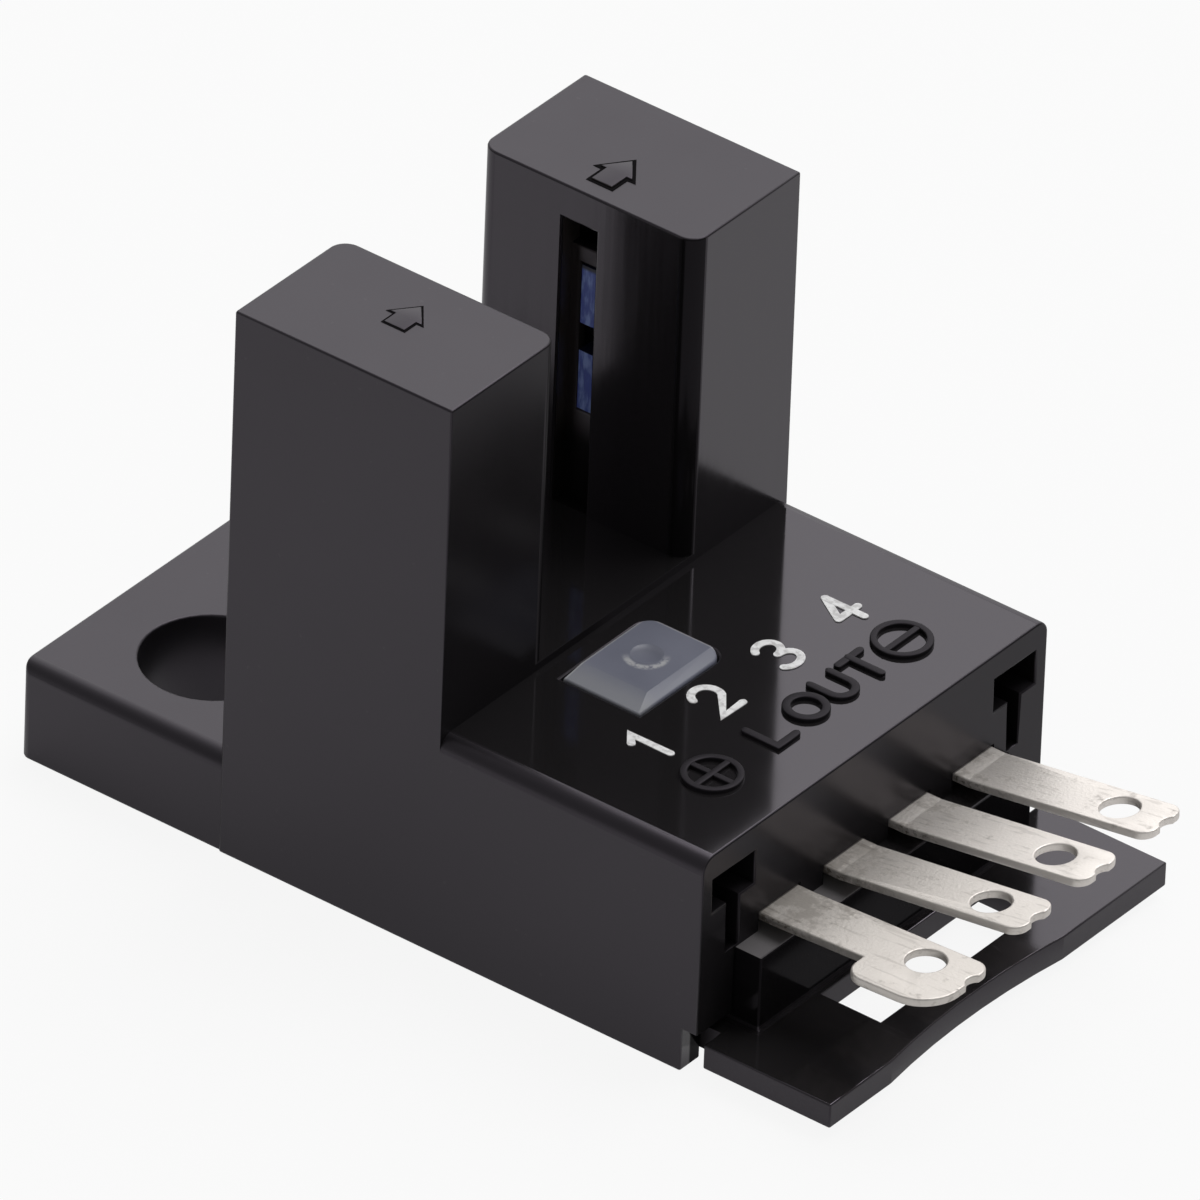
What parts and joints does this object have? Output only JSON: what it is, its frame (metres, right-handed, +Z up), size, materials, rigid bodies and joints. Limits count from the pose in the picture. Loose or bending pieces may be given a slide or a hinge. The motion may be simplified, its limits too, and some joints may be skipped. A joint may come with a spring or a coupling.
{
  "type": "slotted optical switch",
  "caption": "Slotted optical switch: facing towers send and sense a light beam across a gap, on a base with a mounting flange, indicator window and solder tags over a connector tongue.",
  "frame": {"origin": "midway between the two mounting holes, on the mounting face", "axes": "+X from the flange towards the terminals, +Y from the emitter tower to the receiver tower, +Z up"},
  "size_m": [0.025, 0.0128, 0.0148],
  "materials": {
    "case_plastic": "satin black moulding, glossier on the base's top and in the slot",
    "cover_plastic": "gloss black moulding",
    "milky_plastic": "cloudy grey-blue, translucent",
    "board": "green lacquered laminate",
    "tin_plate": "dull tin plate, scuffed near the roots",
    "dark_epoxy": "moulded black epoxy",
    "lead_metal": "tinned lead frame",
    "blue_plastic": "blue moulding",
    "pale_epoxy": "pale diffusing resin",
    "chip_ceramic": "black glaze on ceramic",
    "tan_ceramic": "tan ceramic"
  },
  "bodies": {
    "root": {"case": "case_plastic", "bottom_cover": "cover_plastic", "indicator_window": "milky_plastic", "circuit_board": "board", "terminal_plus": "tin_plate", "terminal_l": "tin_plate", "terminal_out": "tin_plate", "terminal_minus": "tin_plate", "emitter_led": "dark_epoxy", "emitter_anode_lead": "lead_metal", "emitter_cathode_lead": "lead_metal", "emitter_clip": "blue_plastic", "receiver_ic": "dark_epoxy", "receiver_supply_lead": "lead_metal", "receiver_output_lead": "lead_metal", "receiver_ground_lead": "lead_metal", "receiver_clip": "blue_plastic", "indicator_led": "pale_epoxy", "emitter_resistor": "chip_ceramic", "indicator_resistor": "chip_ceramic", "output_transistor": "dark_epoxy", "protection_diode": "dark_epoxy", "bypass_capacitor": "tan_ceramic"}
  },
  "joints": []
}
